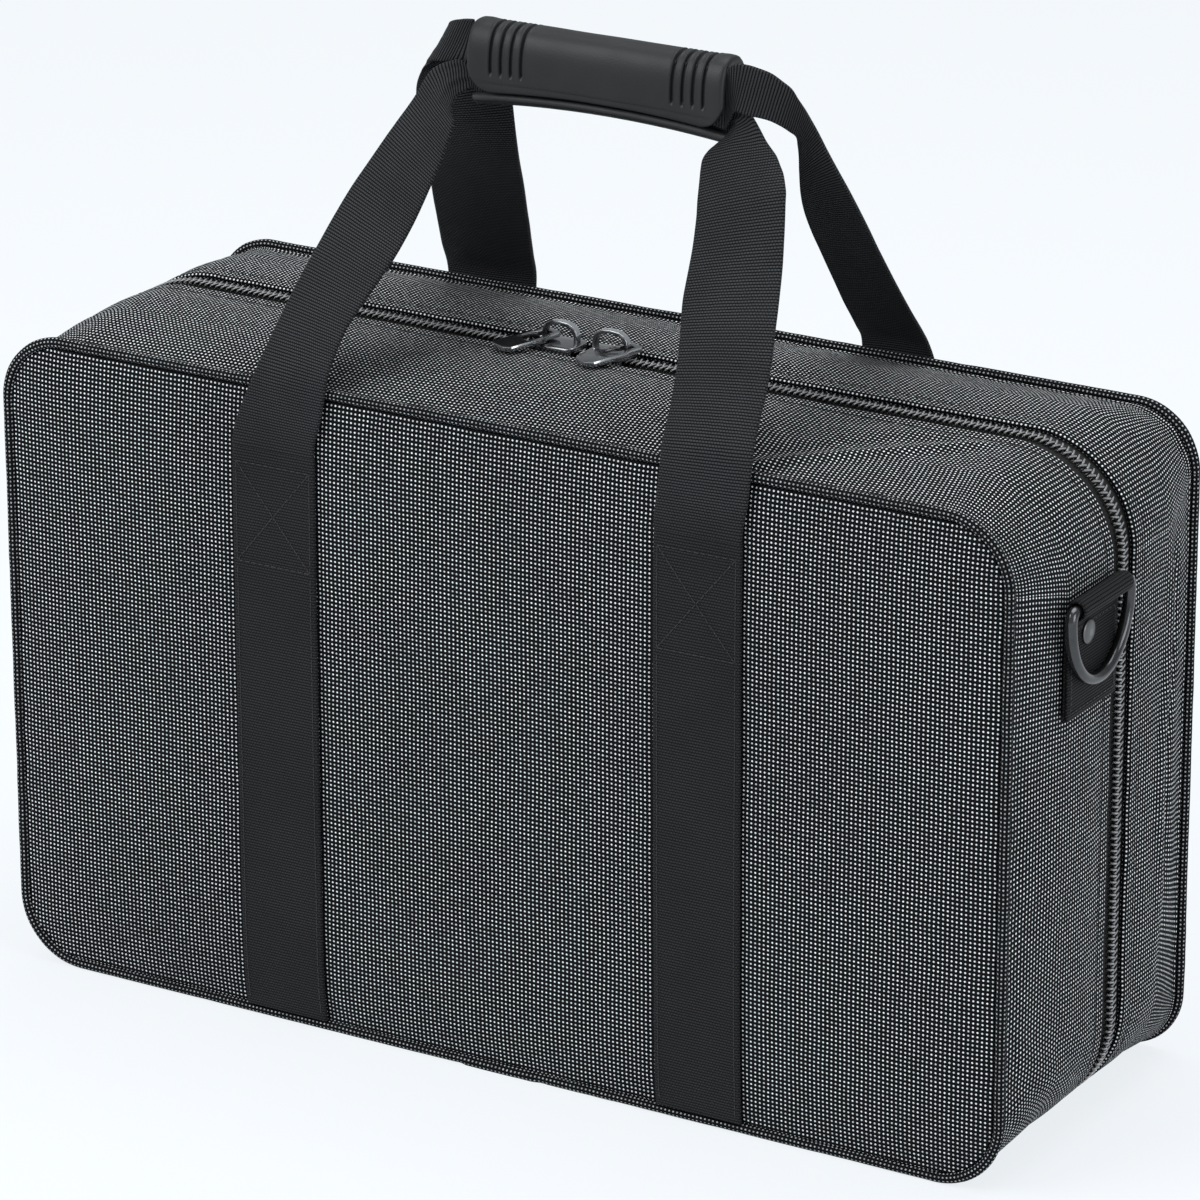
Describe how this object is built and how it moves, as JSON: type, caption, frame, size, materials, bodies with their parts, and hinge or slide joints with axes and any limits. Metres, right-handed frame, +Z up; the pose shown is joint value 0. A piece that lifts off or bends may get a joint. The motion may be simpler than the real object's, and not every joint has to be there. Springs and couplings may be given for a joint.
{
  "type": "cornet case",
  "caption": "Soft zipped cornet case: padded base and hinged lid in dotted cloth, corded seams, webbing handles joined by a wrapped grip, fitted plush interior.",
  "frame": {"origin": "middle of the bounding box's bottom, on the floor it stands on", "axes": "+X along the case's length to its right end, +Y through it from the front face to the rear face, +Z up"},
  "size_m": [0.4818, 0.1632, 0.406],
  "materials": {
    "body_cloth": "matte",
    "piping_cloth": "matte",
    "webbing": "matte",
    "foam": "matte",
    "plush": "matte",
    "zip_tape": "matte",
    "zip_nylon": "satin",
    "grip_rubber": "matte",
    "hardware": "satin"
  },
  "bodies": {
    "base": {"front_panel": "body_cloth", "front_gusset": "body_cloth", "front_piping": "piping_cloth", "front_zip_tape": "zip_tape", "front_zip_coil": "zip_nylon", "front_hinge_strip": "zip_tape", "front_strap_left": "webbing", "front_strap_right": "webbing", "base_foam_shell": "foam", "base_insert": "plush", "d_ring_tab_left": "webbing", "d_ring_tab_right": "webbing", "d_ring_rivet_left": "hardware", "d_ring_rivet_right": "hardware"},
    "lid": {"rear_panel": "body_cloth", "rear_gusset": "body_cloth", "rear_piping": "piping_cloth", "rear_zip_tape": "zip_tape", "rear_zip_coil": "zip_nylon", "rear_hinge_strip": "zip_tape", "rear_strap_left": "webbing", "rear_strap_right": "webbing", "lid_foam_shell": "foam", "lid_lining": "plush"},
    "front_handle": {"front_handle_webbing": "webbing"},
    "rear_handle": {"rear_handle_webbing": "webbing", "grip_back": "grip_rubber"},
    "grip_flap": {"grip_flap": "grip_rubber"},
    "slider_left": {"slider_left": "hardware"},
    "pull_left": {"pull_left": "hardware"},
    "d_ring_left": {"d_ring_left": "hardware"},
    "slider_right": {"slider_right": "hardware"},
    "pull_right": {"pull_right": "hardware"},
    "d_ring_right": {"d_ring_right": "hardware"}
  },
  "joints": [
    {"name": "lid_hinge", "type": "hinge", "parent": "base", "child": "lid", "pos_m": [0, 0.0063, -0.0004], "axis": [-1, 0, 0], "range_deg": [0, 180]},
    {"name": "front_handle_fold", "type": "hinge", "parent": "base", "child": "front_handle", "pos_m": [0, -0.0816, 0.243], "axis": [1, 0, 0], "range_deg": [0, 180]},
    {"name": "rear_handle_fold", "type": "hinge", "parent": "lid", "child": "rear_handle", "pos_m": [0, 0.0816, 0.243], "axis": [-1, 0, 0], "range_deg": [0, 180]},
    {"name": "grip_flap_hinge", "type": "hinge", "parent": "rear_handle", "child": "grip_flap", "pos_m": [0.01, 0.0015, 0.4042], "axis": [-1, 0, 0], "range_deg": [0, 150]},
    {"name": "slider_left_run", "type": "slide", "parent": "base", "child": "slider_left", "axis": [1, 0, 0], "range_m": [-0.148, 0]},
    {"name": "slider_right_run", "type": "slide", "parent": "base", "child": "slider_right", "axis": [1, 0, 0], "range_m": [0, 0.159]},
    {"name": "pull_left_lift", "type": "hinge", "parent": "slider_left", "child": "pull_left", "pos_m": [-0.02281, 0.00938, 0.2785], "axis": [-0.9063, 0.4226, 0], "range_deg": [0, 18]},
    {"name": "pull_right_lift", "type": "hinge", "parent": "slider_right", "child": "pull_right", "pos_m": [0.01469, 0.00938, 0.2785], "axis": [-0.9063, 0.4226, 0], "range_deg": [0, 18]},
    {"name": "d_ring_left_swing", "type": "hinge", "parent": "base", "child": "d_ring_left", "pos_m": [-0.23633, -0.0247, 0.2279], "axis": [0, 1, 0], "range_deg": [0, 170]},
    {"name": "d_ring_right_swing", "type": "hinge", "parent": "base", "child": "d_ring_right", "pos_m": [0.23633, -0.0247, 0.2279], "axis": [0, -1, 0], "range_deg": [0, 170]}
  ]
}
